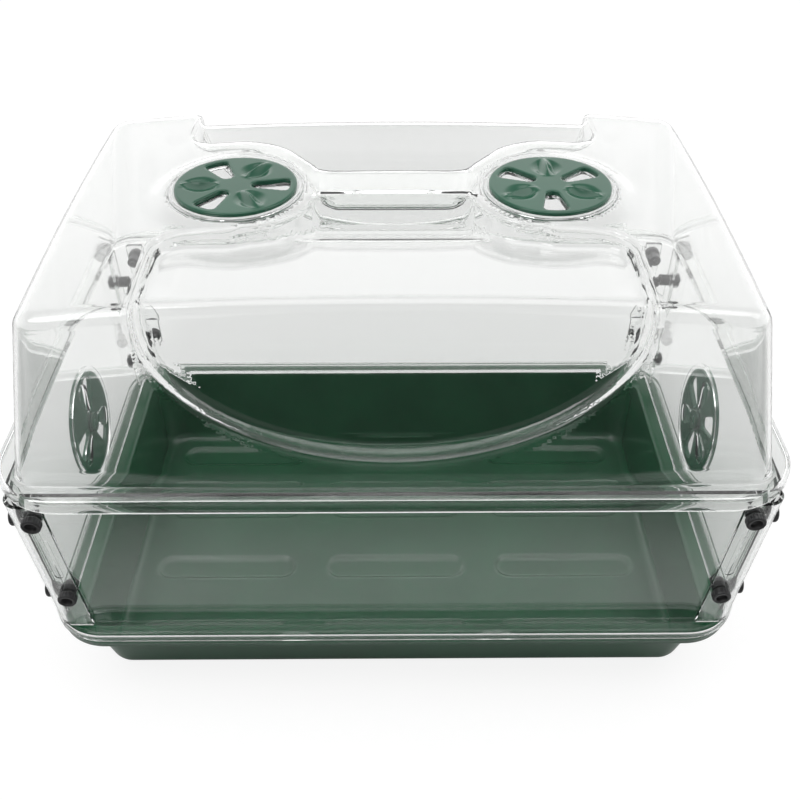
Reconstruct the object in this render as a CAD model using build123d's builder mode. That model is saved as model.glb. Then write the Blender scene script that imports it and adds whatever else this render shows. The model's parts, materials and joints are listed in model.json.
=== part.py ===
from build123d import *
import math
import os

# Humidity dome tray: a growing tray, a bolted clear height collar and a lift-off
# clear dome with four rotary vents. Millimetres, +Z up, front face towards -Y.
# Origin: centre of the footprint, on the plane the feet stand on.

# --- Driving dimensions ---------------------------------------------------------

SHEET = 2.5                    # wall of every moulded shell
FIT = 0.1                      # gap between clamped or resting faces

# Growing tray
TRAY_FOOT = 3.0                # height of the feet under the floor
TRAY_BASE = (516.0, 308.0)     # outside of the floor
TRAY_MOUTH = (532.0, 353.0)    # outside of the walls just under the rim
TRAY_RIM = (576.0, 370.0)      # outside of the down-turned rim
TRAY_TOP = 84.0                # top of the rim ledge
TRAY_LIP = 14.0                # height of the down-turned lip
TRAY_WALL_CORNER = 22.0
TRAY_RIM_CORNER = 45.0
TRAY_FLOOR_FILLET = 7.0
FOOT_SIZE = (139.0, 30.0)      # one hollow foot
FOOT_PITCH = (167.0, 81.0)
FOOT_COUNT = (3, 4)

# Height collar
COLLAR_BASE = (556.0, 346.0)   # outside of the panels at the tray rim
COLLAR_HEAD = (572.0, 372.0)   # outside of the panels at the top flange
COLLAR_TOP = 247.0
COLLAR_HEAD_FLANGE = (592.0, 382.0)
COLLAR_HEAD_CORNER = 51.0
COLLAR_LIP = 4.0               # lip that drops outside the tray rim
COLLAR_LIP_WALL = 2.0
COLLAR_LIP_PLAY = 0.6
PANEL_END_GAP = 11.5           # from a panel's end to the collar's corner
COLLAR_INNER_CORNER = 12.0     # inner corners of the flanges
MITRE_GAP = 0.15               # half the joint between two panels' flanges
POST_WIDTH = 30.0              # overall width of a corner post's leg
POST_WALL = 3.0
POST_CORNER = 14.0             # outside radius of a corner post
POST_GAP = 0.6                 # post end to panel flange
POST_GROOVE = (48.0, 7.0, 0.8) # shallow groove in each leg: length, width, depth

# Thumb screws and nuts
SCREW_FROM_CORNER = 18.0       # screw axis to the outside of the collar's corner
SCREW_HEIGHTS_LONG = (130.0, 223.0)    # on the front and back
SCREW_HEIGHTS_SHORT = (113.0, 206.0)   # on the ends, clear of the others
SCREW_HEAD_RADIUS = 7.5
SCREW_HEAD_LENGTH = 6.5
SCREW_SOCKET = (4.2, 4.0)      # hollow in the head: radius, depth
SCREW_GRIPS = 20
SCREW_GRIP_RADIUS = 0.55
SCREW_RADIUS = 2.5
SCREW_LENGTH = 18.0            # under the head
NUT_RADIUS = 5.5
NUT_LENGTH = 9.0
NUT_PLAY = 0.05

# Dome
DOME_SKIRT = (600.0, 390.0)    # outside of the skirt
DOME_CORNER = 56.0
DOME_REST = COLLAR_TOP + FIT   # underside of the flange, on the collar
DOME_LIP = 12.0                # height of the skirt
DOME_BASE = (560.0, 352.0)     # outside of the walls at the flange
DOME_FOLD = (505.0, 320.0)     # outside of the walls at the roof's edge
DOME_EDGE = 386.0              # height of the roof's corners
DOME_PEAK = 399.0              # height of the roof's middle
DOME_WALL_CORNER = 16.0
DOME_EDGE_FILLET = 9.0
DOME_DRAWN_SPAN = (-0.2, 1.3)   # walls are drawn past flange and roof, then trimmed

# Hand scoops, one on each side of the handle bridge
SCOOP_HALF_WIDTH = 174.0
SCOOP_SILL = 271.0             # lowest point of the scoop's outline on the wall
SCOOP_WALL_SET_BACK = 12.0
SCOOP_FLOOR_OUTER = 388.0      # floor height at the roof's edge
SCOOP_FLOOR_MIDDLE = 380.0     # floor height where it dips to the bridge
SCOOP_FLOOR_INNER = 364.0      # floor height at the bridge
SCOOP_SHOULDER_RADIUS = 30.0   # where the outline turns in towards a vent

# Each scoop's depths from the middle: bridge wall, dip of the floor, shoulders;
# then its radius round a vent and half the width of its neck
FRONT_SCOOP = (16.0, 50.0, 66.0, 64.0, 110.0)
BACK_SCOOP = (23.0, 62.0, 88.0, 69.0, 88.0)

# Rotary vents
ROOF_VENT_X = 121.5
SIDE_VENT_HEIGHT = 160.0
DIAL_RADIUS = 47.4
DIAL_THICKNESS = 4.0
DIAL_EDGE = 1.2
SEAT_RIM = (48.4, 52.0)        # inside and outside radius of the rim round a dial
SEAT_RIM_HEIGHT = 2.5
ROOF_SEAT = 396.0              # height of a roof vent's seat
PORT_COUNT = 3
PORT_SPAN = (12.5, 42.0)       # nearest and farthest point of a port from the axis
PORT_ENDS = (4.4, 9.4)         # radius of its narrow and its wide end
LEAF_SPAN = (13.0, 43.0)       # finger grip between two ports
LEAF_BULGE = 11.0
LEAF_DEPTH = 2.6
LEAF_FIN = 1.6
PIN_RADIUS = 4.0
PIN_PLAY = 0.05
PIN_GROOVE_GRIP = 0.02
CLIP_RADIUS = 9.0
CLIP_THICKNESS = 2.5
LEFT_ROOF_PORTS = 0.0          # angle of a seat's first port
RIGHT_ROOF_PORTS = 30.0
LEFT_SIDE_PORTS = 90.0
RIGHT_SIDE_PORTS = 90.0
LEFT_SIDE_TURN = 25.0          # dial's angle past its seat at rest
RIGHT_SIDE_TURN = 60.0

# --- Values worked out from them ---------------------------------------------------

COLLAR_FOOT = TRAY_TOP + FIT
COLLAR_RISE = COLLAR_TOP - COLLAR_FOOT
FLARE_X = (COLLAR_HEAD[0] - COLLAR_BASE[0]) / 2 / COLLAR_RISE
FLARE_Y = (COLLAR_HEAD[1] - COLLAR_BASE[1]) / 2 / COLLAR_RISE
FLOOR_TOP = TRAY_FOOT + SHEET
DOME_FLANGE_TOP = DOME_REST + SHEET
SKIRT_FOOT = DOME_FLANGE_TOP - DOME_LIP
ROOF_VENT_CENTRES = ((-ROOF_VENT_X, 0), (ROOF_VENT_X, 0))
FAR = 400.0                    # beyond the object on every side


def collar_half(height):
    """Half the collar's outside size at a height, as (x, y)."""
    rise = height - COLLAR_FOOT
    return COLLAR_BASE[0] / 2 + FLARE_X * rise, COLLAR_BASE[1] / 2 + FLARE_Y * rise


def grown(size, margin):
    """A rectangle's size with a margin added on each side."""
    return size[0] + 2 * margin, size[1] + 2 * margin


# --- Tray ----------------------------------------------------------------------------

with BuildPart() as tray_cavity:
    with BuildSketch(Plane.XY.offset(FLOOR_TOP)):
        RectangleRounded(*grown(TRAY_BASE, -SHEET), TRAY_WALL_CORNER - SHEET)
    with BuildSketch(Plane.XY.offset(TRAY_TOP)):
        RectangleRounded(*grown(TRAY_MOUTH, -SHEET), TRAY_WALL_CORNER - SHEET)
    loft()
    fillet(tray_cavity.faces().sort_by(Axis.Z)[0].edges(), TRAY_FLOOR_FILLET - SHEET)
    with BuildSketch(Plane.XY.offset(FLOOR_TOP)):
        with GridLocations(*FOOT_PITCH, *FOOT_COUNT):
            SlotOverall(*grown(FOOT_SIZE, -SHEET))
    extrude(amount=-TRAY_FOOT)

with BuildPart() as tray:
    with BuildSketch(Plane.XY.offset(TRAY_FOOT)):
        RectangleRounded(*TRAY_BASE, TRAY_WALL_CORNER)
    with BuildSketch(Plane.XY.offset(TRAY_TOP)):
        RectangleRounded(*TRAY_MOUTH, TRAY_WALL_CORNER)
    loft()
    fillet(tray.faces().sort_by(Axis.Z)[0].edges(), TRAY_FLOOR_FILLET)
    with BuildSketch(Plane.XY):
        with GridLocations(*FOOT_PITCH, *FOOT_COUNT):
            SlotOverall(*FOOT_SIZE)
    extrude(amount=FLOOR_TOP)
    with BuildSketch(Plane.XY.offset(TRAY_TOP - SHEET)):
        RectangleRounded(*TRAY_RIM, TRAY_RIM_CORNER)
    extrude(amount=SHEET)
    with BuildSketch(Plane.XY.offset(TRAY_TOP - TRAY_LIP)):
        RectangleRounded(*TRAY_RIM, TRAY_RIM_CORNER)
        offset(amount=-SHEET, mode=Mode.SUBTRACT)
    extrude(amount=TRAY_LIP)
    fillet(tray.faces().sort_by(Axis.Z)[-1].outer_wire().edges(), SHEET / 2)
    add(tray_cavity.part, mode=Mode.SUBTRACT)
tray.part.label = "tray"


# --- Vent openings and the parts that turn in them --------------------------------------

with BuildSketch() as port:
    with Locations((PORT_SPAN[0] + PORT_ENDS[0], 0)):
        Circle(PORT_ENDS[0])
    with Locations((PORT_SPAN[1] - PORT_ENDS[1], 0)):
        Circle(PORT_ENDS[1])
    make_hull()

with BuildSketch() as leaf:
    with BuildLine():
        middle = sum(LEAF_SPAN) / 2
        ThreePointArc((LEAF_SPAN[0], 0), (middle, LEAF_BULGE), (LEAF_SPAN[1], 0))
        ThreePointArc((LEAF_SPAN[1], 0), (middle, -LEAF_BULGE), (LEAF_SPAN[0], 0))
    make_face()
    Rectangle(FAR, LEAF_FIN, mode=Mode.SUBTRACT)


def seat_openings(first_angle):
    """Sketch of the ports and the pin hole of one vent seat."""
    with BuildSketch() as openings:
        with PolarLocations(0, PORT_COUNT, start_angle=first_angle):
            add(port.sketch)
        Circle(PIN_RADIUS + PIN_PLAY)
    return openings.sketch


def vent_dial(seat, first_angle, label):
    """Green dial that turns on a seat plane: ports, finger grips and a pin."""
    with BuildPart(seat.offset(FIT)) as dial:
        Cylinder(DIAL_RADIUS, DIAL_THICKNESS, align=(Align.CENTER, Align.CENTER, Align.MIN))
        fillet(dial.edges().filter_by(GeomType.CIRCLE), DIAL_EDGE)
        with BuildSketch(seat.offset(FIT)):
            with PolarLocations(0, PORT_COUNT, start_angle=first_angle):
                add(port.sketch)
        extrude(amount=DIAL_THICKNESS, mode=Mode.SUBTRACT)
        with BuildSketch(seat.offset(FIT + DIAL_THICKNESS)):
            with PolarLocations(0, PORT_COUNT, start_angle=first_angle + 180 / PORT_COUNT):
                add(leaf.sketch)
        extrude(amount=-LEAF_DEPTH, mode=Mode.SUBTRACT)
        with BuildSketch(seat.offset(FIT)):
            Circle(PIN_RADIUS)
        extrude(amount=-(2 * FIT + SHEET + CLIP_THICKNESS))
    dial.part.label = label
    return dial


def vent_clip(seat, label):
    """Ring snapped on a dial's pin behind the seat."""
    with BuildPart() as clip:
        with BuildSketch(seat.offset(-SHEET - FIT)):
            Circle(CLIP_RADIUS)
            Circle(PIN_RADIUS + PIN_GROOVE_GRIP, mode=Mode.SUBTRACT)
        extrude(amount=-CLIP_THICKNESS)
    clip.part.label = label
    return clip


def side_seat(side):
    """Plane on the outside of an end panel, its normal pointing out of the collar."""
    lean = math.atan(FLARE_X)
    origin = (side * collar_half(SIDE_VENT_HEIGHT)[0], 0, SIDE_VENT_HEIGHT)
    normal = (side * math.cos(lean), 0, -math.sin(lean))
    return Plane(origin=origin, x_dir=(0, side, 0), z_dir=normal)


left_roof_seat = Plane.XY.offset(ROOF_SEAT).shift_origin((-ROOF_VENT_X, 0, ROOF_SEAT))
right_roof_seat = Plane.XY.offset(ROOF_SEAT).shift_origin((ROOF_VENT_X, 0, ROOF_SEAT))
left_side_seat = side_seat(-1)
right_side_seat = side_seat(1)

roof_dial_left = vent_dial(left_roof_seat, LEFT_ROOF_PORTS, "roof_vent_dial_left")
roof_dial_right = vent_dial(right_roof_seat, RIGHT_ROOF_PORTS, "roof_vent_dial_right")
side_dial_left = vent_dial(left_side_seat, LEFT_SIDE_PORTS + LEFT_SIDE_TURN, "side_vent_dial_left")
side_dial_right = vent_dial(right_side_seat, RIGHT_SIDE_PORTS + RIGHT_SIDE_TURN, "side_vent_dial_right")
roof_clip_left = vent_clip(left_roof_seat, "roof_vent_clip_left")
roof_clip_right = vent_clip(right_roof_seat, "roof_vent_clip_right")
side_clip_left = vent_clip(left_side_seat, "side_vent_clip_left")
side_clip_right = vent_clip(right_side_seat, "side_vent_clip_right")


# --- Height collar ---------------------------------------------------------------------

CORNERS = {"front_left": (-1, -1), "front_right": (1, -1), "back_left": (-1, 1), "back_right": (1, 1)}
SIDES = {"front": (0, -1), "back": (0, 1), "left": (-1, 0), "right": (1, 0)}
MITRE = (COLLAR_BASE[0] - COLLAR_BASE[1]) / 2


def screw_faces(corner):
    """Planes on a corner post's outside at its screws, normals pointing out."""
    side_x, side_y = CORNERS[corner]
    faces = []
    for height in SCREW_HEIGHTS_LONG:
        half_x, half_y = collar_half(height)
        origin = (side_x * (half_x - SCREW_FROM_CORNER), side_y * (half_y + FIT + POST_WALL), height)
        faces.append(Plane(origin=origin, x_dir=(1, 0, 0), z_dir=(0, side_y, -FLARE_Y)))
    for height in SCREW_HEIGHTS_SHORT:
        half_x, half_y = collar_half(height)
        origin = (side_x * (half_x + FIT + POST_WALL), side_y * (half_y - SCREW_FROM_CORNER), height)
        faces.append(Plane(origin=origin, x_dir=(0, 1, 0), z_dir=(side_x, 0, -FLARE_X)))
    return faces


def screw_holes(corner):
    """Clearance holes of one corner's screws."""
    with BuildPart() as holes:
        for face in screw_faces(corner):
            with BuildSketch(face):
                Circle(SCREW_RADIUS + FIT)
            extrude(amount=SCREW_LENGTH, both=True)
    return holes.part


def panel_sector(direction):
    """Sketch of one panel's share of the plan, split on the corner mitres."""
    toward_x, toward_y = direction
    with BuildSketch() as sector:
        with BuildLine():
            if toward_x:
                apex = MITRE + MITRE_GAP
                Polyline((toward_x * apex, 0), (toward_x * FAR, FAR - apex), (toward_x * FAR, apex - FAR),
                         close=True)
            else:
                apex = MITRE - MITRE_GAP
                Polyline((-apex, 0), (-FAR, toward_y * (FAR - apex)), (FAR, toward_y * (FAR - apex)),
                         (apex, 0), close=True)
        make_face()
    return sector.sketch


def flange(direction, outside, corner, inside, inside_corner):
    """Sketch of one panel's length of a flat ring round the collar."""
    with BuildSketch() as ring:
        RectangleRounded(*outside, corner)
        RectangleRounded(*inside, inside_corner, mode=Mode.SUBTRACT)
        add(panel_sector(direction), mode=Mode.INTERSECT)
    return ring.sketch


def web_section(direction, height):
    """Cross-section of a panel's upright wall at a height."""
    toward_x, toward_y = direction
    half_x, half_y = collar_half(height)
    if toward_x:
        centre = (toward_x * (half_x - SHEET / 2), 0)
        size = (SHEET, 2 * (half_y - PANEL_END_GAP))
    else:
        centre = (0, toward_y * (half_y - SHEET / 2))
        size = (2 * (half_x - PANEL_END_GAP), SHEET)
    with BuildSketch(Plane.XY.offset(height)) as section:
        with Locations(centre):
            Rectangle(*size)
    return section.sketch


def collar_panel(name, seat=None, first_port=0.0):
    """Clear panel: upright wall between a foot flange with a lip and a head flange."""
    direction = SIDES[name]
    lip_inside = grown(TRAY_RIM, COLLAR_LIP_PLAY)
    lip_outside = grown(lip_inside, COLLAR_LIP_WALL)
    lip_corner = TRAY_RIM_CORNER + COLLAR_LIP_PLAY
    foot_inside = grown(COLLAR_BASE, -SHEET)
    head_inside = grown(COLLAR_HEAD, -SHEET)
    with BuildPart() as panel:
        loft([web_section(direction, COLLAR_FOOT), web_section(direction, COLLAR_TOP)])
        with BuildSketch(Plane.XY.offset(COLLAR_FOOT)):
            add(flange(direction, lip_outside, lip_corner + COLLAR_LIP_WALL, foot_inside,
                       COLLAR_INNER_CORNER))
        extrude(amount=SHEET)
        with BuildSketch(Plane.XY.offset(TRAY_TOP - COLLAR_LIP)):
            add(flange(direction, lip_outside, lip_corner + COLLAR_LIP_WALL, lip_inside, lip_corner))
        extrude(amount=COLLAR_LIP + SHEET / 2)
        with BuildSketch(Plane.XY.offset(COLLAR_TOP - SHEET)):
            add(flange(direction, COLLAR_HEAD_FLANGE, COLLAR_HEAD_CORNER, head_inside,
                       COLLAR_INNER_CORNER))
        extrude(amount=SHEET)
        with BuildSketch(Plane.XY.offset(SKIRT_FOOT - POST_GAP)):
            Rectangle(2 * FAR, 2 * FAR)
            RectangleRounded(*COLLAR_HEAD_FLANGE, COLLAR_HEAD_CORNER, mode=Mode.SUBTRACT)
        extrude(amount=FAR, mode=Mode.SUBTRACT)
        for corner, (side_x, side_y) in CORNERS.items():
            if direction in ((side_x, 0), (0, side_y)):
                add(screw_holes(corner), mode=Mode.SUBTRACT)
        if seat:
            with BuildSketch(seat):
                Circle(SEAT_RIM[1])
                Circle(SEAT_RIM[0], mode=Mode.SUBTRACT)
            extrude(amount=SEAT_RIM_HEIGHT)
            with BuildSketch(seat):
                add(seat_openings(first_port))
            extrude(amount=2 * SHEET, both=True, mode=Mode.SUBTRACT)
    panel.part.label = f"collar_panel_{name}"
    return panel


def corner_post(corner):
    """Clear angle bracket that clamps two panels' ends."""
    outward = Axis((0, 0, 0), (*CORNERS[corner], 0))
    side_x, side_y = CORNERS[corner]
    with BuildPart() as post:
        for height in (COLLAR_FOOT + SHEET + POST_GAP, SKIRT_FOOT - POST_GAP):
            half_x, half_y = collar_half(height)
            reach_x = half_x + FIT + POST_WALL - POST_WIDTH / 2
            reach_y = half_y + FIT + POST_WALL - POST_WIDTH / 2
            with BuildSketch(Plane.XY.offset(height)) as angle:
                with Locations((side_x * reach_x, side_y * reach_y)):
                    Rectangle(POST_WIDTH, POST_WIDTH)
                fillet(angle.vertices().sort_by(outward)[-1], POST_CORNER)
                with BuildSketch(mode=Mode.SUBTRACT) as hollow:
                    with Locations((side_x * (reach_x - POST_WALL), side_y * (reach_y - POST_WALL))):
                        Rectangle(POST_WIDTH, POST_WIDTH)
                    fillet(hollow.vertices().sort_by(outward)[-1], POST_CORNER - POST_WALL)
        loft()
        add(screw_holes(corner), mode=Mode.SUBTRACT)
        faces = screw_faces(corner)
        length, width, depth = POST_GROOVE
        for low, high in (faces[0:2], faces[2:4]):
            middle = (low.origin + high.origin) / 2
            with BuildSketch(Plane(origin=middle, x_dir=high.origin - low.origin, z_dir=low.z_dir)):
                SlotOverall(length, width)
            extrude(amount=-depth, mode=Mode.SUBTRACT)
    post.part.label = f"corner_post_{corner}"
    return post


def thumb_screws(corner):
    """Four knurled hand screws of one corner."""
    socket_radius, socket_depth = SCREW_SOCKET
    with BuildPart() as screws:
        for face in screw_faces(corner):
            with BuildSketch(face.offset(FIT)):
                Circle(SCREW_HEAD_RADIUS)
                with PolarLocations(SCREW_HEAD_RADIUS, SCREW_GRIPS):
                    Circle(SCREW_GRIP_RADIUS, mode=Mode.SUBTRACT)
            extrude(amount=SCREW_HEAD_LENGTH)
            with BuildSketch(face.offset(FIT + SCREW_HEAD_LENGTH)):
                Circle(socket_radius)
            extrude(amount=-socket_depth, mode=Mode.SUBTRACT)
            with BuildSketch(face.offset(FIT)):
                Circle(SCREW_RADIUS)
            extrude(amount=-SCREW_LENGTH)
    screws.part.label = f"thumb_screws_{corner}"
    return screws


def screw_nuts(corner):
    """Four round nuts of one corner, on the panels' inner faces."""
    with BuildPart() as nuts:
        for face in screw_faces(corner):
            with BuildSketch(face.offset(-POST_WALL - SHEET - 3 * FIT)):
                Circle(NUT_RADIUS)
                Circle(SCREW_RADIUS + NUT_PLAY, mode=Mode.SUBTRACT)
            extrude(amount=-NUT_LENGTH)
    nuts.part.label = f"screw_nuts_{corner}"
    return nuts


panels = [
    collar_panel("front"),
    collar_panel("back"),
    collar_panel("left", left_side_seat, LEFT_SIDE_PORTS),
    collar_panel("right", right_side_seat, RIGHT_SIDE_PORTS),
]
posts = [corner_post(corner) for corner in CORNERS]
screws = [thumb_screws(corner) for corner in CORNERS]
nuts = [screw_nuts(corner) for corner in CORNERS]


# --- Dome ---------------------------------------------------------------------------------

def scoop_profile(inset, bridge_depth, dip_depth):
    """Side view of a front scoop: the open space above its floor and before its wall."""
    draft = (DOME_BASE[1] - DOME_FOLD[1]) / 2 / (DOME_EDGE - DOME_FLANGE_TOP)
    fold = -DOME_FOLD[1] / 2 + SCOOP_WALL_SET_BACK + inset
    sill = SCOOP_SILL - 2 * SHEET
    foot = fold - draft * (DOME_EDGE - sill)
    bridge = inset - bridge_depth
    with BuildSketch(Plane.YZ) as profile:
        with BuildLine():
            Polyline(
                (-FAR, sill),
                (foot, sill),
                (fold, SCOOP_FLOOR_OUTER - inset),
                (-dip_depth, SCOOP_FLOOR_MIDDLE - inset),
                (bridge, SCOOP_FLOOR_INNER - inset),
                (bridge, 2 * FAR),
                (-FAR, 2 * FAR),
                close=True,
            )
        make_face()
    return profile.sketch


def scoop_front_view(inset):
    """Front view of a scoop: the lower half of an ellipse, open at the top."""
    half_width = SCOOP_HALF_WIDTH + inset
    drop = DOME_EDGE - SCOOP_SILL + inset
    with BuildSketch(Plane.XZ) as view:
        with Locations((0, DOME_EDGE)):
            Ellipse(half_width, drop)
            Rectangle(2 * half_width, FAR, align=(Align.CENTER, Align.MIN))
    return view.sketch


def scoop_plan(inset, bridge_depth, shoulder_depth, vent_radius, neck_half_width):
    """Plan of a front scoop: it passes between the vents up to the bridge."""
    half_width = SCOOP_HALF_WIDTH + inset
    vent_clear = vent_radius - inset
    with BuildSketch() as plan:
        with Locations((0, inset - shoulder_depth)):
            Rectangle(2 * half_width, FAR, align=(Align.CENTER, Align.MAX))
        fillet(plan.vertices().group_by(Axis.Y)[-1], SCOOP_SHOULDER_RADIUS)
        with Locations((0, inset - bridge_depth)):
            Rectangle(2 * (neck_half_width + inset), vent_clear, align=(Align.CENTER, Align.MAX))
        with Locations(*ROOF_VENT_CENTRES):
            Circle(vent_clear, mode=Mode.SUBTRACT)
    return plan.sketch


def hand_scoop(inset, depths):
    """Space of a front hand scoop, grown by an inset into the dome's form."""
    bridge_depth, dip_depth, shoulder_depth, vent_radius, neck_half_width = depths
    with BuildPart() as scoop:
        extrude(scoop_profile(inset, bridge_depth, dip_depth), amount=FAR, both=True)
        extrude(scoop_front_view(inset), amount=FAR, both=True, mode=Mode.INTERSECT)
        plan = scoop_plan(inset, bridge_depth, shoulder_depth, vent_radius, neck_half_width)
        extrude(plan, amount=2 * FAR, mode=Mode.INTERSECT)
    return scoop.part


def crown(half_span, inset):
    """Front view of everything under the roof's arc."""
    with BuildSketch(Plane.XZ) as outline:
        with BuildLine():
            left = (-half_span, DOME_EDGE - inset)
            right = (half_span, DOME_EDGE - inset)
            ThreePointArc(left, (0, DOME_PEAK - inset), right)
            Polyline(right, (half_span, 0), (-half_span, 0), left)
        make_face()
    return outline.sketch


def dome_form(inset):
    """Solid form of the dome's walls, roof and scoops, inset from the outside."""
    rise = DOME_EDGE - DOME_FLANGE_TOP
    with BuildPart() as form:
        for stretch in DOME_DRAWN_SPAN:
            size = [low + stretch * (high - low) for low, high in zip(DOME_BASE, DOME_FOLD)]
            with BuildSketch(Plane.XY.offset(DOME_FLANGE_TOP + stretch * rise)):
                Rectangle(*grown(size, -inset))
        loft()
        extrude(crown(DOME_BASE[0] / 2, inset), amount=FAR, both=True, mode=Mode.INTERSECT)
        corners = [edge for edge in form.edges() if edge.bounding_box().size.Z > rise / 2]
        fillet(corners, DOME_WALL_CORNER - inset)
        roof_edges = form.faces().sort_by(Axis.Z)[-1].edges()
        fillet(roof_edges, DOME_EDGE_FILLET - inset)
        add(hand_scoop(inset, FRONT_SCOOP), mode=Mode.SUBTRACT)
        add(hand_scoop(inset, BACK_SCOOP).mirror(Plane.XZ), mode=Mode.SUBTRACT)
    return form.part


with BuildPart() as dome_hollow:
    add(dome_form(SHEET))
    with BuildSketch(Plane.XY.offset(ROOF_SEAT - SHEET)):
        with Locations(*ROOF_VENT_CENTRES):
            Circle(SEAT_RIM[1] + SHEET)
    extrude(amount=FAR, mode=Mode.SUBTRACT)

with BuildPart() as dome:
    add(dome_form(0))
    split(bisect_by=Plane.XY.offset(DOME_FLANGE_TOP), keep=Keep.TOP)
    with BuildSketch(Plane.XY.offset(DOME_EDGE)):
        with Locations(*ROOF_VENT_CENTRES):
            Circle(SEAT_RIM[1])
    extrude(amount=ROOF_SEAT + SEAT_RIM_HEIGHT - DOME_EDGE)
    with BuildSketch(Plane.XY.offset(ROOF_SEAT)):
        with Locations(*ROOF_VENT_CENTRES):
            Circle(SEAT_RIM[0])
    extrude(amount=FAR, mode=Mode.SUBTRACT)
    add(dome_hollow.part, mode=Mode.SUBTRACT)
    for seat, first_port in ((left_roof_seat, LEFT_ROOF_PORTS), (right_roof_seat, RIGHT_ROOF_PORTS)):
        with BuildSketch(seat):
            add(seat_openings(first_port))
        extrude(amount=2 * SHEET, both=True, mode=Mode.SUBTRACT)
    with BuildSketch(Plane.XY.offset(DOME_REST)):
        RectangleRounded(*DOME_SKIRT, DOME_CORNER)
        Rectangle(*grown(DOME_BASE, -SHEET), mode=Mode.SUBTRACT)
    extrude(amount=SHEET)
    with BuildSketch(Plane.XY.offset(SKIRT_FOOT)):
        RectangleRounded(*DOME_SKIRT, DOME_CORNER)
        offset(amount=-SHEET, mode=Mode.SUBTRACT)
    extrude(amount=DOME_LIP)
dome.part.label = "dome"


# --- Write one STEP file per piece ----------------------------------------------------------

dials = [roof_dial_left, roof_dial_right, side_dial_left, side_dial_right]
clips = [roof_clip_left, roof_clip_right, side_clip_left, side_clip_right]

os.makedirs("parts", exist_ok=True)
for piece in [tray, dome, *panels, *posts, *screws, *nuts, *dials, *clips]:
    export_step(piece.part, f"parts/{piece.part.label}.step")
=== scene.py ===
import json
import math

import bpy
import numpy as np
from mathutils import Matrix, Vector


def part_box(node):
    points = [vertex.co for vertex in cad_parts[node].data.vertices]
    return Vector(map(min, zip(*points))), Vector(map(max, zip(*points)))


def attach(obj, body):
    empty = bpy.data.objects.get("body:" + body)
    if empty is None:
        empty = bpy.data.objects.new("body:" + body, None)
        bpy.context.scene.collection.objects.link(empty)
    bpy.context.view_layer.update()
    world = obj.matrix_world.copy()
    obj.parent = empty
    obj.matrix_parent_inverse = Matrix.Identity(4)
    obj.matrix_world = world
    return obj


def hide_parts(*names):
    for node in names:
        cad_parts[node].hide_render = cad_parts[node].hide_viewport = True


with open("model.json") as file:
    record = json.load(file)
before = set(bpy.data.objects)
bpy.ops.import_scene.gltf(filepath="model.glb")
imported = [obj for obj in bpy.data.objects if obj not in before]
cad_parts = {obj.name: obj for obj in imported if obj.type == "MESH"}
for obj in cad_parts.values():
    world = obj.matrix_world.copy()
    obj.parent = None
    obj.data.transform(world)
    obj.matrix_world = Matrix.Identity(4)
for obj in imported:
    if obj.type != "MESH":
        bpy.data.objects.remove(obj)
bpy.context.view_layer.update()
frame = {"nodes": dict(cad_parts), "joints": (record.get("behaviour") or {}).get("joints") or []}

MM = 0.001

# --- Sizes, in millimetres, in the frame of the CAD model --------------------------------------

SHEET = 2.5

# Growing tray
TRAY_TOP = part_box("tray")[1][2] / MM
TRAY_RIM_HALF = (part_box("tray")[1][0] / MM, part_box("tray")[1][1] / MM)
TRAY_LIP_FOOT = 70.0
TRAY_FLOOR = 5.5
TRAY_FLOOR_HALF = (255.5, 151.5)
TRAY_MOUTH_HALF = (263.5, 174.0)
TRAY_CORNER = 19.5
TRAY_RIM_CORNER = 45.0
TRAY_FLOOR_FILLET = 7.0
TRAY_RIM_ROUND = 2.5
TRAY_MOUTH_ROUND = 3.0
FOOT_PITCH = (167.0, 81.0)
FOOT_HALF = (54.5, 12.5)       # half the straight stretch of a foot's hollow, and its radius
FOOT_DEPTH = 3.0
FOOT_FILLET = 2.0
FOOT_FLOOR_FILLET = 1.8

# Height collar and its hand screws
COLLAR_FOOT = 84.1
COLLAR_BASE_HALF = (278.0, 173.0)
COLLAR_FLARE = (8.0 / 162.9, 13.0 / 162.9)
POST_FACE = 3.1                # a post's outside from the panel's
SCREW_FROM_CORNER = 18.0
SCREW_HEIGHTS_LONG = (130.0, 223.0)
SCREW_HEIGHTS_SHORT = (113.0, 206.0)

# Dome
DOME_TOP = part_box("dome")[1][2] / MM
SKIRT_HALF = (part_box("dome")[1][0] / MM, 195.0)
SKIRT_CORNER = 56.0
FLANGE_TOP = 249.6
WALL_FOOT_HALF = (280.0, 176.0)
WALL_RISE = 134.4
WALL_LEAN = (27.5 / WALL_RISE, 16.0 / WALL_RISE)
WALL_BOW = 3.0
WALL_CORNER = 15.0
WALL_CUT = 259.0               # the net stops here, and the swept skirt takes over
ROOF_EDGE = 384.0
ROOF_HALF = (252.0, 160.0)
ROOF_CROWN = 12.0
ROOF_SWELL = (5.0, 3.0)        # rise from front to back at the middle, less this at the ends
ROOF_ROUND = 10.0

# Hand scoops, each shaped like a half ellipse from the front
SCOOP_HALF_WIDTH = 174
SCOOP_TOP = 386
SCOOP_DROP = 115
SCOOP_DIP_HEIGHT = 380         # its floor where it dips to the bridge
SCOOP_FLOOR_RISE = (6, 4)      # rise of the floor's outer edge, more by this in the middle
SCOOP_FLOOR_SPAN = 170
SCOOP_WALL_DEPTH = 148.0       # the floor's outer edge from the middle
SCOOP_WALL_FILLET = 9
SCOOP_SHOULDER_RADIUS = 26
SCOOP_EDGE_ROUND = 5
SCOOP_RIM_ROUND = 6            # where its outline meets its floor and wall
SCOOP_OUTLINE_ROUND = 8        # where its plan meets the half ellipse
BRIDGE_DROP = 15
BRIDGE_LEAN = 0.12
BRIDGE_TOP = 398
BRIDGE_FOOT_ROUND = 4
NECK_DEPTH = 65.0              # depth at which a neck's half width is given
NECK_END_ROUND = 10
NECK_VENT_ROUND = 5

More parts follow.
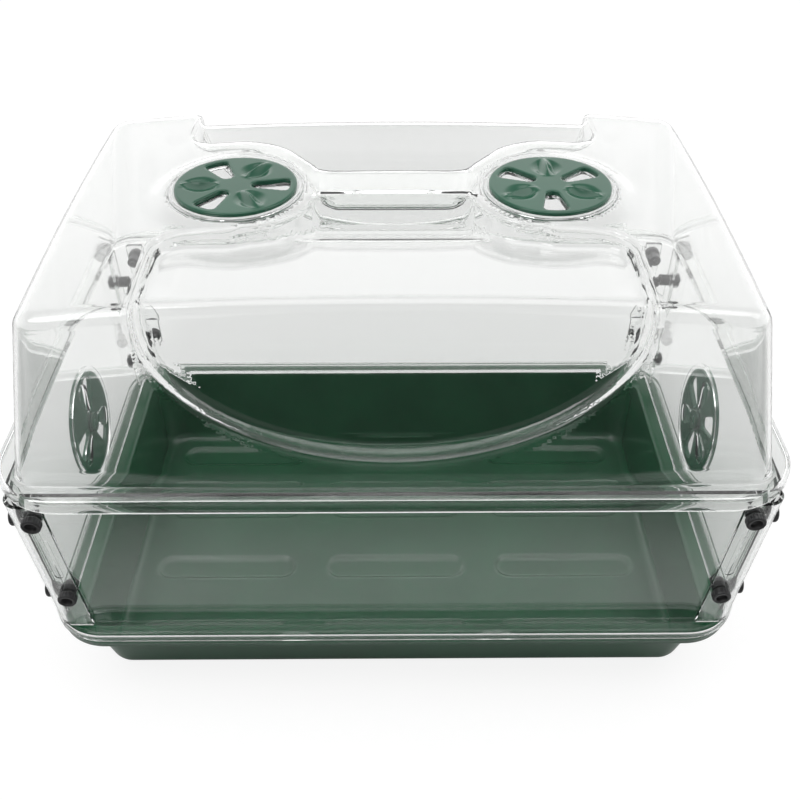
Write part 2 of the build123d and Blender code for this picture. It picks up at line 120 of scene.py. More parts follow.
# Bridge wall, floor dip and shoulder from the middle; clear radius of a vent; half width
# of the neck, how much the neck widens outwards, and its fillet.
FRONT_SCOOP = (15.0, 50.0, 66.0, 64.0, 110.0, 0.0, 14.0)
BACK_SCOOP = (23.0, 62.0, 90.0, 67.0, 82.0, 0.66, 28.0)

# Rotary vents
VENT_X = 121.5
SEAT_HEIGHT = 396.0
SEAT_RADIUS = 52.0
SEAT_PLATE_RADIUS = 45.1
BOSS_RISE = 2.3                # roof round a vent, over its seat
BOSS_BLEND = (53.0, 18.0)      # where the roof starts to leave that height, and over how much
DIAL_RADIUS = 47.4
DIAL_TOP = 4.1
DIAL_GAP = 0.1
PIN_RADIUS = 4.0
PIN_HOLE_RADIUS = 4.2
PIN_MIDDLE, PIN_HALF_LENGTH = -2.45, 2.65
THIRD_TURN = 2 * math.pi / 3
PORT_START, PORT_END = 12.3, 42.0
PORT_HALF_WIDTH = 4.4          # where its taper starts
PORT_TAPER_START = 12.5
PORT_TAPER = 0.2
PORT_ROUND = 4.2
LEAF_START, LEAF_LENGTH = 12.0, 32.5
LEAF_HALF_WIDTH = 13.5
LEAF_DEPTH = 3.1
RIDGE_RISE = 3.0
RIDGE_HALF_WIDTH = 5.6

# How fine each net is
DOME_CELL = 3.2
TRAY_CELL = 3.0
SEAT_CELL = 1.2
DIAL_CELL = 0.9


# --- Distance fields, in millimetres: negative inside a solid ------------------------------


def join(a, b, radius):
    """Union of two fields with a fillet."""
    u = np.maximum(radius - a, 0.0)
    v = np.maximum(radius - b, 0.0)
    return np.maximum(radius, np.minimum(a, b)) - np.hypot(u, v)


def overlap(a, b, radius):
    """Intersection of two fields with a rounded edge."""
    return -join(-a, -b, radius)


def rounded_rectangle(x, y, half_x, half_y, radius):
    """Distance to a rounded rectangle in plan."""
    u = np.abs(x) - (half_x - radius)
    v = np.abs(y) - (half_y - radius)
    outside = np.hypot(np.maximum(u, 0.0), np.maximum(v, 0.0))
    return outside + np.minimum(np.maximum(u, v), 0.0) - radius


def surface_net(field, low, high, cell):
    """Quads on a field's zero surface, one vertex in every cell that it crosses."""
    axes = [np.arange(a, b + cell, cell) for a, b in zip(low, high)]
    values = field(*np.meshgrid(*axes, indexing="ij"))
    inside = values < 0
    nx, ny, nz = (len(axis) - 1 for axis in axes)
    corners = [(i, j, k) for i in (0, 1) for j in (0, 1) for k in (0, 1)]
    count = sum(inside[i:i + nx, j:j + ny, k:k + nz].astype(int) for i, j, k in corners)
    cells = np.argwhere((count > 0) & (count < 8))
    number = np.full((nx, ny, nz), -1)
    number[tuple(cells.T)] = np.arange(len(cells))
    total = np.zeros((len(cells), 3))
    hits = np.zeros(len(cells))
    for start in corners:
        for axis in range(3):
            if start[axis]:
                continue
            end = list(start)
            end[axis] = 1
            a = values[tuple((cells + start).T)]
            b = values[tuple((cells + end).T)]
            crossed = (a < 0) != (b < 0)
            share = np.where(crossed, a / np.where(crossed, a - b, 1.0), 0.0)
            point = np.tile(np.array(start, float), (len(cells), 1))
            point[:, axis] = share
            total += point * crossed[:, None]
            hits += crossed
    points = np.array(low) + (cells + total / hits[:, None]) * cell
    quads = []
    for axis in range(3):
        one, two = (axis + 1) % 3, (axis + 2) % 3
        first = [slice(None)] * 3
        second = [slice(None)] * 3
        first[axis] = slice(0, -1)
        second[axis] = slice(1, None)
        a, b = inside[tuple(first)], inside[tuple(second)]
        for grows, edges in ((True, np.argwhere(a & ~b)), (False, np.argwhere(~a & b))):
            kept = np.ones(len(edges), bool)
            for side in (one, two):
                kept &= (edges[:, side] > 0) & (edges[:, side] < (nx, ny, nz)[side])
            edges = edges[kept]
            ring = []
            for d_one, d_two in ((-1, -1), (0, -1), (0, 0), (-1, 0)):
                shifted = edges.copy()
                shifted[:, one] += d_one
                shifted[:, two] += d_two
                ring.append(number[tuple(shifted.T)])
            ring = np.stack(ring, axis=1)
            quads.append(ring if grows else ring[:, ::-1])
    return points, np.concatenate(quads)


def gradient(field, points, step=0.25):
    """Unit normals of a field at points, and its slope there."""
    parts = []
    for axis in range(3):
        shift = np.zeros(3)
        shift[axis] = step
        ahead = field(*(points + shift).T)
        behind = field(*(points - shift).T)
        parts.append((ahead - behind) / (2 * step))
    slope = np.stack(parts, axis=1)
    size = np.maximum(np.linalg.norm(slope, axis=1, keepdims=True), 1e-6)
    return slope / size, size[:, 0]


def drop_on(field, points, rounds=1):
    """Points moved along the field's normals on to its surface."""
    for _ in range(rounds):
        normal, slope = gradient(field, points)
        points = points - normal * (field(*points.T) / slope)[:, None]
    return points


def settle(field, points, quads, fixed, rounds=6):
    """A net's points, evened out along its surface; fixed ones stay."""
    edges = np.concatenate([quads[:, [i, (i + 1) % 4]] for i in range(4)])
    weight = np.maximum(np.bincount(edges.ravel(), minlength=len(points)), 1.0)
    for _ in range(rounds):
        total = np.zeros_like(points)
        np.add.at(total, edges[:, 0], points[edges[:, 1]])
        np.add.at(total, edges[:, 1], points[edges[:, 0]])
        moved = points + 0.5 * (total / weight[:, None] - points)
        moved = drop_on(field, moved, 2)
        points = np.where(fixed[:, None], points, moved)
    return points


def keep_faces(points, quads, kept):
    """The net without the quads that aren't kept, and without stray vertices."""
    quads = quads[kept]
    used = np.unique(quads)
    number = np.full(len(points), -1)
    number[used] = np.arange(len(used))
    return points[used], number[quads]


def open_edges(quads):
    """Directed edges that only one quad has."""
    edges = np.concatenate([quads[:, [i, (i + 1) % 4]] for i in range(4)]).tolist()
    known = {(a, b) for a, b in edges}
    return [(a, b) for a, b in edges if (b, a) not in known]


def sheet(field, points, quads, edges, level):
    """Closed shell of a sheet: the net, its inner side and the strip between their level edges."""
    normal, _ = gradient(field, points)
    inner = points - normal * SHEET
    inner[np.unique(np.array(edges).ravel()), 2] = level
    count = len(points)
    strips = [[b, a, a + count, b + count] for a, b in edges]
    faces = quads.tolist() + (quads[:, ::-1] + count).tolist() + strips
    return np.concatenate([points, inner]), faces


# --- Making pieces -----------------------------------------------------------------------


def add_piece(name, points, faces, material, body, *nodes):
    """A smooth mesh piece from millimetre points, riding on a body."""
    mesh = bpy.data.meshes.new(name)
    mesh.from_pydata((np.asarray(points) * MM).tolist(), [], [list(face) for face in faces])
    mesh.validate()
    mesh.shade_smooth()
    mesh.materials.append(material)
    piece = bpy.data.objects.new(name, mesh)
    bpy.context.scene.collection.objects.link(piece)
    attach(piece, body)
    if nodes:
        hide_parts(*nodes)


def placed(points, origin, x_axis, normal):
    """Local points moved to a plane."""
    z = np.array(normal, float) / np.linalg.norm(normal)
    x = np.array(x_axis, float) / np.linalg.norm(x_axis)
    y = np.cross(z, x)
    return np.asarray(points) @ np.stack([x, y, z]) + np.array(origin, float)


def turned(profile, count, flute):
    """Points and faces of a profile of (radius, height) pairs turned about Z, with flutes."""
    angles = np.arange(count) * 2 * math.pi / count
    points = []
    for radius, height in profile:
        reach = radius * flute(angles, radius)
        points.append(np.column_stack([
            reach * np.cos(angles), reach * np.sin(angles), np.full(count, height)]))
    faces = []
    for i in range(len(profile) - 1):
        for j in range(count):
            k = (j + 1) % count
            faces.append([i * count + j, i * count + k, (i + 1) * count + k, (i + 1) * count + j])
    faces.append(list(range(count))[::-1])
    last = (len(profile) - 1) * count
    faces.append(list(range(last, last + count)))
    return np.concatenate(points), faces


def merged(shapes):
    """Several (points, faces) pairs as one."""
    points, faces, count = [], [], 0
    for shape_points, shape_faces in shapes:
        points.append(shape_points)
        faces += [[i + count for i in face] for face in shape_faces]
        count += len(shape_points)
    return np.concatenate(points), faces


# --- Materials -----------------------------------------------------------------------------


class Nodes:
    """Short cuts for building a material's nodes."""

    def __init__(self, tree):
        self.tree = tree
        self.tree.nodes.clear()

    def new(self, kind, inputs=None, **settings):
        """A node with its settings and inputs; an input may be another node's output."""
        node = self.tree.nodes.new(kind)
        for key, value in settings.items():
            setattr(node, key, value)
        for key, value in (inputs or {}).items():
            if isinstance(value, bpy.types.NodeSocket):
                self.tree.links.new(value, node.inputs[key])
            else:
                node.inputs[key].default_value = value
        return node

    def math(self, operation, a, b=0.0, c=0.0):
        """One maths node's result."""
        node = self.new("ShaderNodeMath", {0: a, 1: b, 2: c}, operation=operation)
        return node.outputs[0]

    def noise(self, scale, detail):
        """Noise in the piece's own space."""
        place = self.new("ShaderNodeTexCoord").outputs["Object"]
        inputs = {"Vector": place, "Scale": scale, "Detail": detail, "Roughness": 0.5}
        return self.new("ShaderNodeTexNoise", inputs).outputs["Fac"]

    def ramp(self, value, low, high, start, end):
        """A smooth step from start to end as a value goes from low to high."""
        inputs = {"Value": value, "From Min": low, "From Max": high, "To Min": start, "To Max": end}
        node = self.new("ShaderNodeMapRange", inputs, interpolation_type="SMOOTHSTEP")
        return node.outputs[0]


def new_material(name):
    """An empty node material and its builder."""
    material = bpy.data.materials.new(name)
    material.use_nodes = True
    return material, Nodes(material.node_tree)


def clear_plastic(name, wave):
    """Clear moulded plastic: real refraction, with light passing straight to what's inside."""
    material, nodes = new_material(name)
    bump = nodes.new("ShaderNodeBump", {
        "Height": nodes.noise(22.0, 1.0), "Strength": wave, "Distance": 0.002})
    plastic = nodes.new("ShaderNodeBsdfPrincipled", {
        "Base Color": (0.985, 0.99, 0.985, 1.0),
        "Roughness": 0.02,
        "IOR": 1.49,
        "Transmission Weight": 1.0,
        "Normal": bump.outputs[0],
    })
    straight = nodes.new("ShaderNodeBsdfTransparent", {"Color": (0.93, 0.94, 0.935, 1.0)})
    path = nodes.new("ShaderNodeLightPath")
    passing = nodes.math("MAXIMUM", path.outputs["Is Shadow Ray"], path.outputs["Is Diffuse Ray"])
    mix = nodes.new("ShaderNodeMixShader", {0: passing, 1: plastic.outputs[0], 2: straight.outputs[0]})
    nodes.new("ShaderNodeOutputMaterial", {"Surface": mix.outputs[0]})
    return material


def solid_plastic(name, colour, roughness, grain=0.1, coat=0.0):
    """Opaque moulded plastic with a fine grain and slight wear in its gloss."""
    material, nodes = new_material(name)
    patches = nodes.ramp(nodes.noise(14.0, 3.0), 0.3, 0.7, 0.9, 1.1)
    tint = nodes.new("ShaderNodeVectorMath", {0: colour, "Scale": patches}, operation="SCALE")
    gloss = nodes.ramp(nodes.noise(60.0, 4.0), 0.3, 0.7, roughness * 0.8, roughness * 1.25)
    bump = nodes.new("ShaderNodeBump", {
        "Height": nodes.noise(900.0, 2.0), "Strength": grain, "Distance": 0.0002})
    plastic = nodes.new("ShaderNodeBsdfPrincipled", {
        "Base Color": tint.outputs[0],
        "Roughness": gloss,
        "IOR": 1.49,
        "Coat Weight": coat,
        "Coat Roughness": 0.05,
        "Normal": bump.outputs[0],
    })
    nodes.new("ShaderNodeOutputMaterial", {"Surface": plastic.outputs[0]})
    return material


clear_dome = clear_plastic("clear_dome", 0.05)
clear_collar = clear_plastic("clear_collar", 0.03)
green_tray = solid_plastic("green_tray", (0.014, 0.072, 0.034), 0.16)
green_vent = solid_plastic("green_vent", (0.018, 0.090, 0.052), 0.12)
green_clip = solid_plastic("green_clip", (0.014, 0.065, 0.035), 0.3)
black_screw = solid_plastic("black_screw", (0.012, 0.012, 0.013), 0.42, 0.3)

NODE_MATERIALS = {
    "collar_panel": clear_collar,
    "corner_post": clear_collar,
    "thumb_screws": black_screw,
    "screw_nuts": black_screw,
    "roof_vent_clip": green_clip,
    "side_vent_clip": green_clip,
    "roof_vent_dial": green_vent,
    "side_vent_dial": green_vent,
    "tray": green_tray,
    "dome": clear_dome,
}
for node_name, node in frame["nodes"].items():
    material = next(value for key, value in NODE_MATERIALS.items() if node_name.startswith(key))
    node.data.materials.clear()
    node.data.materials.append(material)


# --- Dome -----------------------------------------------------------------------------------


def roof_height(x, y):
    """Height of the crowned roof, level round the vents."""
    u = (x / ROOF_HALF[0]) ** 2
    v = (y / ROOF_HALF[1]) ** 2
    crown = ROOF_EDGE + ROOF_CROWN * (1 - u) + (ROOF_SWELL[0] - ROOF_SWELL[1] * u) * (1 - v)
    blend_start, blend_width = BOSS_BLEND
    away = np.clip((np.hypot(np.abs(x) - VENT_X, y) - blend_start) / blend_width, 0.0, 1.0)
    share = away * away * (3 - 2 * away)
    return crown * share + (SEAT_HEIGHT + BOSS_RISE) * (1 - share)


def scoop_field(x, forward, z, bridge, dip, shoulder, clear, neck_half, neck_lean, neck_fillet):
    """Open space of one hand scoop; forward grows from the outer wall to the middle."""
    vent = np.hypot(np.abs(x) - VENT_X, forward)
    rise = SCOOP_FLOOR_RISE[0] + SCOOP_FLOOR_RISE[1] * (1 - (x / SCOOP_FLOOR_SPAN) ** 2)
    floor = SCOOP_DIP_HEIGHT + rise * np.maximum(-forward - dip, 0.0) / (SCOOP_WALL_DEPTH - dip)
    floor = floor - np.maximum(forward + dip, 0.0) * (BRIDGE_DROP / (dip - bridge))
    over_floor = (floor - z) * 0.95
    before_bridge = forward + bridge + BRIDGE_LEAN * (z - BRIDGE_TOP)
    before_wall = forward + SCOOP_WALL_DEPTH - (z - ROOF_EDGE) * WALL_LEAN[1]
    space = overlap(over_floor, before_bridge, BRIDGE_FOOT_ROUND)
    space = join(space, before_wall, SCOOP_WALL_FILLET)
    drop = np.maximum(SCOOP_TOP - z, 0.0)
    size = np.hypot(x / SCOOP_HALF_WIDTH, drop / SCOOP_DROP) + 1e-9
    steep = np.hypot(x / SCOOP_HALF_WIDTH ** 2, drop / SCOOP_DROP ** 2) + 1e-9
    oval = size * (size - 1) / steep
    wide = overlap(np.abs(x) - SCOOP_HALF_WIDTH, forward + shoulder, SCOOP_SHOULDER_RADIUS)
    neck_side = np.abs(x) - neck_half + neck_lean * (forward + NECK_DEPTH)
    neck = overlap(neck_side / math.hypot(1, neck_lean), forward + bridge, NECK_END_ROUND)
    neck = overlap(neck, clear - vent, NECK_VENT_ROUND)
    outline = overlap(oval, join(wide, neck, neck_fillet), SCOOP_OUTLINE_ROUND)
    return overlap(space, outline, SCOOP_RIM_ROUND)


def dome_field(x, y, z):
    """Dome above its skirt: bowed walls, crowned roof and the two hand scoops."""
    rise = z - FLANGE_TOP
    (half_x, half_y), (lean_x, lean_y) = WALL_FOOT_HALF, WALL_LEAN
    bow_x = WALL_BOW * (1 - (y / half_y) ** 2)
    bow_y = WALL_BOW * (1 - (x / half_x) ** 2)
    side = (np.abs(x) - half_x - bow_x + rise * lean_x) / math.hypot(1, lean_x)
    front = (np.abs(y) - half_y - bow_y + rise * lean_y) / math.hypot(1, lean_y)
    block = overlap(overlap(side, front, WALL_CORNER), z - roof_height(x, y), ROOF_ROUND)
    block = overlap(block, -scoop_field(x, y, z, *FRONT_SCOOP), SCOOP_EDGE_ROUND)
    return overlap(block, -scoop_field(x, -y, z, *BACK_SCOOP), SCOOP_EDGE_ROUND)


# A section of the skirt: which outline a point is measured from, how far outside it, height.
SKIRT_SECTION = (
    ("wall", 1.6, 254.2), ("wall", 2.1, 252.3), ("wall", 3.0, 250.8), ("wall", 4.5, 249.9),
    ("wall", 6.5, 249.6), ("skirt", -3.4, 249.6), ("skirt", -1.9, 249.25), ("skirt", -0.8, 248.5),
    ("skirt", -0.2, 247.4), ("skirt", 0.0, 246.0), ("skirt", 0.0, 239.0), ("skirt", -0.35, 238.0),
    ("skirt", -1.25, 237.6), ("skirt", -2.15, 238.0), ("skirt", -2.5, 239.0), ("skirt", -2.5, 244.6),
    ("skirt", -2.9, 246.1), ("skirt", -3.9, 246.95), ("skirt", -5.4, 247.15), ("wall", 5.0, 247.15),
    ("wall", 1.8, 247.3), ("wall", 0.4, 248.0), ("wall", -0.3, 249.4), ("wall", -0.7, 252.0),
)

# A section of the clear ring round a dial: radius and height.
RING_SECTION = (
    (51.3, 398.35), (50.7, 398.5), (49.5, 398.5), (48.8, 398.3), (48.45, 397.9), (48.4, 396.5),
    (48.2, 396.15), (47.6, 396.0), (45.6, 396.0), (45.2, 395.7), (45.2, 393.8), (45.6, 393.5),
    (49.8, 393.5), (50.9, 393.9), (51.6, 394.8),
)


def ordered_ring(edges):
    """The vertices of each closed loop of directed edges, in order."""
    following = dict(edges)
    loops = []
    while following:
        loop = [next(iter(following))]
        while loop[-1] in following:
            loop.append(following.pop(loop[-1]))
        loops.append(loop[:-1])
    return loops


def bridge_loops(first, second):
    """Quads between two loops of the same length."""
    count = len(first)
    return [[first[i], second[i], second[(i + 1) % count], first[(i + 1) % count]] for i in range(count)]


def skirt_rings(outer):
    """Rings of points along the skirt's section, one for each vertex of the wall's edge."""
    x, y = outer[:, 0], outer[:, 1]
    distance = rounded_rectangle(x, y, *SKIRT_HALF, SKIRT_CORNER)
    step = 0.1
    away_x = rounded_rectangle(x + step, y, *SKIRT_HALF, SKIRT_CORNER) - distance
    away_y = rounded_rectangle(x, y + step, *SKIRT_HALF, SKIRT_CORNER) - distance
    away = np.stack([away_x, away_y], axis=1)
    away /= np.linalg.norm(away, axis=1, keepdims=True)
    rings = []
    for outline, offset, height in SKIRT_SECTION:
        reach = offset if outline == "wall" else offset - distance
        plan = outer[:, :2] + away * np.broadcast_to(reach, len(outer))[:, None]
        rings.append(np.column_stack([plan, np.full(len(outer), height)]))
    return rings


def vent_rings(outer, side):
    """Rings of points along the section of a vent's clear ring."""
    centre = np.array([side * VENT_X, 0.0])
    away = outer[:, :2] - centre
    away /= np.linalg.norm(away, axis=1, keepdims=True)
    return [np.column_stack([centre + away * radius, np.full(len(outer), height)])
            for radius, height in RING_SECTION]


def make_dome():
    """Thin clear shell, with its skirt and the rings round its vents swept on to it."""
    low = (-WALL_FOOT_HALF[0] - 9, -WALL_FOOT_HALF[1] - 9, WALL_CUT)
    high = (WALL_FOOT_HALF[0] + 9, WALL_FOOT_HALF[1] + 9, DOME_TOP + 6)
    points, quads = surface_net(dome_field, low, high, DOME_CELL)
    points = drop_on(dome_field, points)
    vent = np.hypot(np.abs(points[:, 0]) - VENT_X, points[:, 1])
    cut = (vent < SEAT_RADIUS) & (points[:, 2] > ROOF_EDGE)
    points, quads = keep_faces(points, quads, ~cut[quads].any(axis=1))
    loops = ordered_ring(open_edges(quads))
    fixed = np.zeros(len(points), bool)
    for loop in loops:
        fixed[loop] = True
        if points[loop[0], 2] < (WALL_CUT + ROOF_EDGE) / 2:
            points[loop, 2] = WALL_CUT
            points[loop] = drop_on(dome_field, points[loop])
            points[loop, 2] = WALL_CUT
        else:
            centre = np.array([math.copysign(VENT_X, points[loop[0], 0]), 0.0])
            away = points[loop, :2] - centre
            points[loop, :2] = centre + away * (SEAT_RADIUS / np.linalg.norm(away, axis=1))[:, None]
    points = settle(dome_field, points, quads, fixed)
    normal, _ = gradient(dome_field, points)
    count = len(points)
    shell = [points, points - normal * SHEET]
    faces = quads.tolist() + (quads[:, ::-1] + count).tolist()
    total = 2 * count
    for loop in loops:
        outer = points[loop]
        if outer[0, 2] < (WALL_CUT + ROOF_EDGE) / 2:
            rings = skirt_rings(outer)
        else:
            rings = vent_rings(outer, math.copysign(1, outer[0, 0]))
        previous = loop
        for ring in rings:
            numbers = list(range(total, total + len(ring)))
            faces += bridge_loops(previous, numbers)
            shell.append(ring)
            total += len(ring)
            previous = numbers
        faces += bridge_loops(previous, [i + count for i in loop])
    return np.concatenate(shell), faces


add_piece("dome_shell", *make_dome(), clear_dome, "dome", "dome")


# --- Rotary vents -----------------------------------------------------------------------------


def port_field(u, v, first_angle):
    """Distance in plan to the three ports, wider towards the edge."""
    angle = np.arctan2(v, u) - first_angle
    angle = np.abs((angle + THIRD_TURN / 2) % THIRD_TURN - THIRD_TURN / 2)
    radius = np.hypot(u, v)
    along = radius * np.cos(angle)
    across = radius * np.sin(angle)
    sides = (across - PORT_HALF_WIDTH - PORT_TAPER * (along - PORT_TAPER_START)) * 0.98
    ends = np.maximum(PORT_START - along, radius - PORT_END)
    return overlap(sides, ends, PORT_ROUND)


def dial_field(u, v, w):
    """Green dial: a plate with ports, and broad hollows with a ridge to turn it by."""
    radius = np.hypot(u, v)
    angle = np.arctan2(v, u) % THIRD_TURN - THIRD_TURN / 2
    along = radius * np.cos(angle)
    across = np.abs(radius * np.sin(angle))
    reach = np.clip((along - LEAF_START) / LEAF_LENGTH, 0.0, 1.0)
    swell = np.sin(math.pi * reach ** 0.9)
    spread = np.clip(across / np.maximum(LEAF_HALF_WIDTH * swell ** 0.8, 0.01), 0.0, 1.0)
    hollow = LEAF_DEPTH * swell ** 0.7 * (1 - spread * spread) ** 2
    ridge = (RIDGE_RISE * swell + hollow) * np.clip(1 - across / RIDGE_HALF_WIDTH, 0.0, 1.0)
    height = DIAL_TOP - hollow + ridge
    plate = overlap(radius - DIAL_RADIUS, (w - height) * 0.7, 1.0)
    plate = overlap(plate, DIAL_GAP - w, 0.3)
    plate = overlap(plate, -port_field(u, v, 0.0), 0.7)
    pin = overlap(radius - PIN_RADIUS, np.abs(w - PIN_MIDDLE) - PIN_HALF_LENGTH, 0.5)
    return np.minimum(plate, pin)


def seat_field(first_angle):
    """Field of the clear plate under a dial, with ports and a pin hole."""

    def field(u, v, w):
        radius = np.hypot(u, v)
        plate = np.abs(w + SHEET / 2) - SHEET / 2
        plate = overlap(radius - SEAT_PLATE_RADIUS, plate, 0.4)
        plate = overlap(plate, -port_field(u, v, first_angle), 0.4)
        return overlap(plate, PIN_HOLE_RADIUS - radius, 0.3)

    return field


def net_of(field, low, high, cell):
    """Closed net of a small solid."""
    points, quads = surface_net(field, low, high, cell)
    return drop_on(field, points, 2), quads


dial = net_of(dial_field, (-49, -49, -6.5), (49, 49, 6.5), DIAL_CELL)

# Degrees from a seat's own X axis to its first port, and to a dial's.
SEAT_TURNS = {"left": 0.0, "right": 30.0}
DIAL_TURNS = {"roof_left": 0.0, "roof_right": 30.0, "side_left": 115.0, "side_right": 150.0}

for joint in frame["joints"]:
    if "vent" not in joint["name"]:
        continue
    where = "roof" if "roof" in joint["name"] else "side"
    side = "left" if "left" in joint["name"] else "right"
    origin = np.array(joint["pos_m"]) / MM
    sign = -1 if side == "left" else 1
    x_axis = (1, 0, 0) if where == "roof" else (0, sign, 0)
    turn = math.radians(DIAL_TURNS[f"{where}_{side}"])
    cosine, sine = math.cos(turn), math.sin(turn)
    spin = np.array([[cosine, sine, 0], [-sine, cosine, 0], [0, 0, 1]])
    points = placed(dial[0] @ spin, origin, x_axis, joint["axis"])
    name = f"{where}_vent_dial_{side}"
    add_piece(f"{name}_moulded", points, dial[1], green_vent, joint["child"], name)
    if where == "roof":
        seat_turn = math.radians(SEAT_TURNS[side])
        seat = net_of(seat_field(seat_turn), (-54, -54, -4), (54, 54, 4), SEAT_CELL)
        points = placed(seat[0], origin, x_axis, joint["axis"])
        add_piece(f"roof_vent_seat_{side}", points, seat[1], clear_dome, "dome")


# --- Tray ----------------------------------------------------------------------------------------


def tray_field(x, y, z):
    """Tray seen from above: rim ledge, cavity and the hollow feet in its floor."""
    rim = rounded_rectangle(x, y, *TRAY_RIM_HALF, TRAY_RIM_CORNER)
    block = overlap(rim, z - TRAY_TOP, TRAY_RIM_ROUND)
    share = (z - TRAY_FLOOR) / (TRAY_TOP - TRAY_FLOOR)
    half_x = TRAY_FLOOR_HALF[0] + (TRAY_MOUTH_HALF[0] - TRAY_FLOOR_HALF[0]) * share
    half_y = TRAY_FLOOR_HALF[1] + (TRAY_MOUTH_HALF[1] - TRAY_FLOOR_HALF[1]) * share
    walls = rounded_rectangle(x, y, half_x, half_y, TRAY_CORNER)
    cavity = overlap(walls, TRAY_FLOOR - z, TRAY_FLOOR_FILLET)
    foot_x = x - FOOT_PITCH[0] * np.clip(np.round(x / FOOT_PITCH[0]), -1, 1)
    foot_y = y - FOOT_PITCH[1] * (np.clip(np.floor(y / FOOT_PITCH[1]), -2, 1) + 0.5)
    foot = np.hypot(np.maximum(np.abs(foot_x) - FOOT_HALF[0], 0.0), foot_y) - FOOT_HALF[1]
    foot = overlap(foot, TRAY_FLOOR - FOOT_DEPTH - z, FOOT_FLOOR_FILLET)
    return overlap(block, -join(cavity, foot, FOOT_FILLET), TRAY_MOUTH_ROUND)


def make_tray():
    """Thin green shell, from the lip's foot over the rim to the floor."""
    reach = (TRAY_RIM_HALF[0] + 6, TRAY_RIM_HALF[1] + 6)
    low, high = (-reach[0], -reach[1], -4), (*reach, TRAY_TOP + 6)
    points, quads = surface_net(tray_field, low, high, TRAY_CELL)
    points = drop_on(tray_field, points)
    outside = rounded_rectangle(*points[:, :2].T, *TRAY_RIM_HALF, TRAY_RIM_CORNER) > -4
    cut = outside & (points[:, 2] < TRAY_LIP_FOOT)
    points, quads = keep_faces(points, quads, ~cut[quads].any(axis=1))
    edges = open_edges(quads)
    fixed = np.zeros(len(points), bool)
    fixed[np.array(edges).ravel()] = True
    points[fixed, 2] = TRAY_LIP_FOOT
    points = settle(tray_field, points, quads, fixed)
    return sheet(tray_field, points, quads, edges, TRAY_LIP_FOOT)


add_piece("tray_shell", *make_tray(), green_tray, "tray", "tray")


# --- Thumb screws ------------------------------------------------------------------------------------

SCREW_FLUTES = 20
SCREW_FLUTE_DEPTH = 0.055      # as a share of the radius
SCREW_PLAIN_RADIUS = 6.9       # nothing inside this is fluted
SCREW_SIDES = 120


def knurl(angles, radius):
    """Share of the radius that the grip flutes of a thumb screw leave."""
    depth = SCREW_FLUTE_DEPTH if radius > SCREW_PLAIN_RADIUS else 0.0
    return 1 - depth * (0.5 - 0.5 * np.cos(SCREW_FLUTES * angles)) ** 3


# A thumb screw's section, from the hollow in its head to the tip: radius and height.
SCREW_PROFILE = (
    (0.01, 2.4), (2.0, 2.4), (2.6, 2.8), (4.0, 3.0), (4.3, 3.4), (4.5, 6.1), (4.8, 6.5), (6.4, 6.5),
    (6.9, 6.35), (7.3, 5.9), (7.5, 5.3), (7.5, 1.3), (7.2, 0.6), (6.6, 0.2), (2.5, 0.15),
    (2.5, -17.4), (2.1, -17.9), (0.01, -17.9),
)
screw = turned(SCREW_PROFILE[::-1], SCREW_SIDES, knurl)

for corner_x, side_x in (("left", -1), ("right", 1)):
    for corner_y, side_y in (("front", -1), ("back", 1)):
        shapes = []
        for long_side, heights in ((True, SCREW_HEIGHTS_LONG), (False, SCREW_HEIGHTS_SHORT)):
            for height in heights:
                rise = height - COLLAR_FOOT
                half_x = COLLAR_BASE_HALF[0] + COLLAR_FLARE[0] * rise
                half_y = COLLAR_BASE_HALF[1] + COLLAR_FLARE[1] * rise
                if long_side:
                    plan = (half_x - SCREW_FROM_CORNER, half_y + POST_FACE)
                    axis, cross = (0, side_y, -COLLAR_FLARE[1]), (1, 0, 0)
                else:
                    plan = (half_x + POST_FACE, half_y - SCREW_FROM_CORNER)
                    axis, cross = (side_x, 0, -COLLAR_FLARE[0]), (0, 1, 0)
                origin = (side_x * plan[0], side_y * plan[1], height)
                shapes.append((placed(screw[0], origin, cross, axis), screw[1]))
        name = f"thumb_screws_{corner_y}_{corner_x}"
        add_piece(f"{name}_knurled", *merged(shapes), black_screw, "collar", name)


# --- Camera, light and floor ---------------------------------------------------------------------------

camera_data = bpy.data.cameras.new("camera")
camera_data.lens = 44.1
camera_data.shift_x = -0.0036
camera = bpy.data.objects.new("camera", camera_data)
camera.location = (0.0031, -0.6915, 0.7504)
CAMERA_DOWN, CAMERA_RIGHT = math.radians(39.31), math.radians(0.37)
camera.rotation_euler = (math.pi / 2 - CAMERA_DOWN, 0, -CAMERA_RIGHT)
bpy.context.scene.collection.objects.link(camera)
bpy.context.scene.camera = camera

# The studio's light by direction: a bright band low down and behind, and a soft light overhead.
world = bpy.data.worlds.new("studio")
world.use_nodes = True
nodes = Nodes(world.node_tree)
direction = nodes.new("ShaderNodeSeparateXYZ", {0: nodes.new("ShaderNodeTexCoord").outputs["Generated"]})
band = nodes.ramp(direction.outputs[2], 0.4, 0.75, 1.45, 0.45)
overhead = nodes.ramp(direction.outputs[2], 0.82, 0.93, 0.0, 1.7)
front = nodes.ramp(direction.outputs[1], -0.8, 0.25, 0.22, 1.0)
strength = nodes.math("MULTIPLY_ADD", band, front, overhead)
background = nodes.new("ShaderNodeBackground", {"Color": (1, 1, 1, 1), "Strength": strength})
nodes.new("ShaderNodeOutputWorld", {"Surface": background.outputs[0]})
bpy.context.scene.world = world


def soft_light(name, place, target, size, energy):
    """A square soft box aimed at a point."""
    light = bpy.data.lights.new(name, "AREA")
    light.shape = "SQUARE"
    light.size = size
    light.energy = energy
    lamp = bpy.data.objects.new(name, light)
    lamp.location = place
    lamp.rotation_euler = (Vector(target) - Vector(place)).to_track_quat("-Z", "Y").to_euler()
    bpy.context.scene.collection.objects.link(lamp)


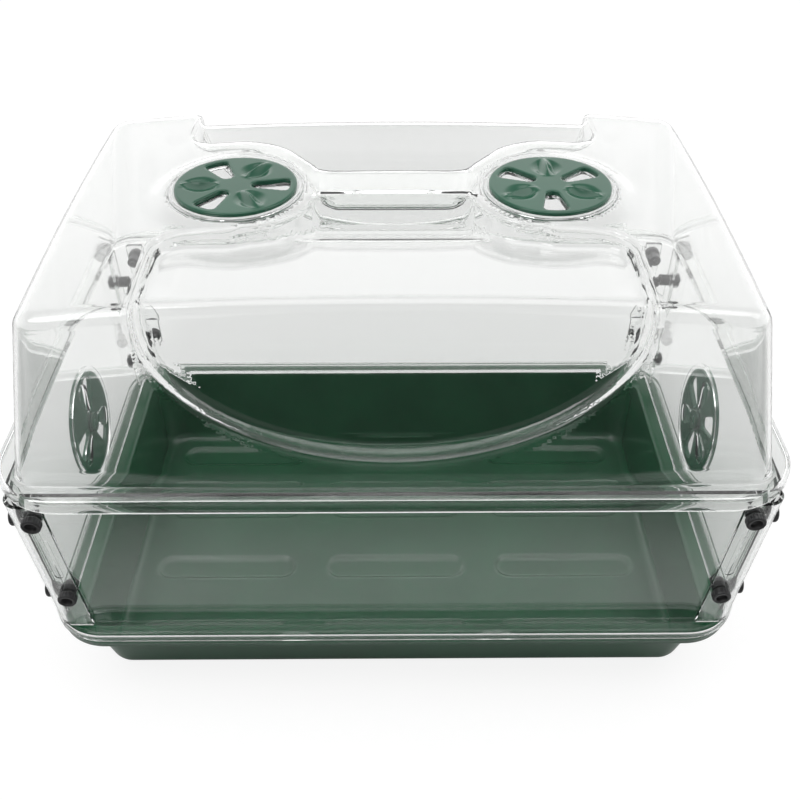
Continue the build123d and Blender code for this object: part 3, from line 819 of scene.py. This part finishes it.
soft_light("key", (-0.9, -0.7, 1.6), (0, 0, 0.15), 0.7, 5.0)
soft_light("fill", (1.1, -0.2, 1.5), (0, 0, 0.15), 0.8, 4.0)

FLOOR_REACH = 4.0
floor_mesh = bpy.data.meshes.new("floor")
floor_corners = [(x * FLOOR_REACH, y * FLOOR_REACH, 0) for x, y in ((-1, -1), (1, -1), (1, 1), (-1, 1))]
floor_mesh.from_pydata(floor_corners, [], [(0, 1, 2, 3)])

# The floor is white to the camera. Mirrored, or seen through clear plastic, it is a pale
# one that is darker just in front of the object and bright again further out on both sides.
# In its mirror image both are painted into its colour: painted shade in front, painted light on the
# sides.
floor_material, floor_nodes = new_material("pale_floor")
paint = floor_nodes.new("ShaderNodeBsdfDiffuse", {"Color": (0.64, 0.64, 0.64, 1.0)})
path = floor_nodes.new("ShaderNodeLightPath")
position = floor_nodes.new("ShaderNodeNewGeometry").outputs["Position"]
place = floor_nodes.new("ShaderNodeSeparateXYZ", {0: position})
# Painted shade: the mirrored floor's colour darkens just in front of the object; painted light: it
# brightens further out on both sides.
painted_shade_near = floor_nodes.ramp(place.outputs[1], -0.42, -0.24, 0.08, 0.8)
painted_light_far = floor_nodes.ramp(place.outputs[1], -0.8, -0.5, 0.85, 0.0)
painted_light_beside = floor_nodes.ramp(floor_nodes.math("ABSOLUTE", place.outputs[0]), 0.34, 0.46, 0.0, 1.0)
level = floor_nodes.math("MULTIPLY_ADD", painted_light_far, painted_light_beside, painted_shade_near)
shade = floor_nodes.new("ShaderNodeCombineColor", {0: level, 1: level, 2: level})
lit = floor_nodes.new("ShaderNodeBsdfDiffuse", {"Color": shade.outputs[0]})
white = floor_nodes.new("ShaderNodeEmission", {"Color": (1, 1, 1, 1), "Strength": 1.15})
glow = floor_nodes.math("MULTIPLY", path.outputs["Is Camera Ray"], 0.75)
seen = floor_nodes.new("ShaderNodeMixShader", {0: glow, 1: paint.outputs[0], 2: white.outputs[0]})
mirrored = floor_nodes.new("ShaderNodeMixShader", {
    0: path.outputs["Is Glossy Ray"], 1: seen.outputs[0], 2: lit.outputs[0]})
floor_nodes.new("ShaderNodeOutputMaterial", {"Surface": mirrored.outputs[0]})
floor_mesh.materials.append(floor_material)
floor = bpy.data.objects.new("floor", floor_mesh)
bpy.context.scene.collection.objects.link(floor)

scene = bpy.context.scene
scene.view_settings.view_transform = "Standard"
scene.cycles.max_bounces = 28
scene.cycles.transmission_bounces = 24
scene.cycles.glossy_bounces = 8
scene.cycles.transparent_max_bounces = 40
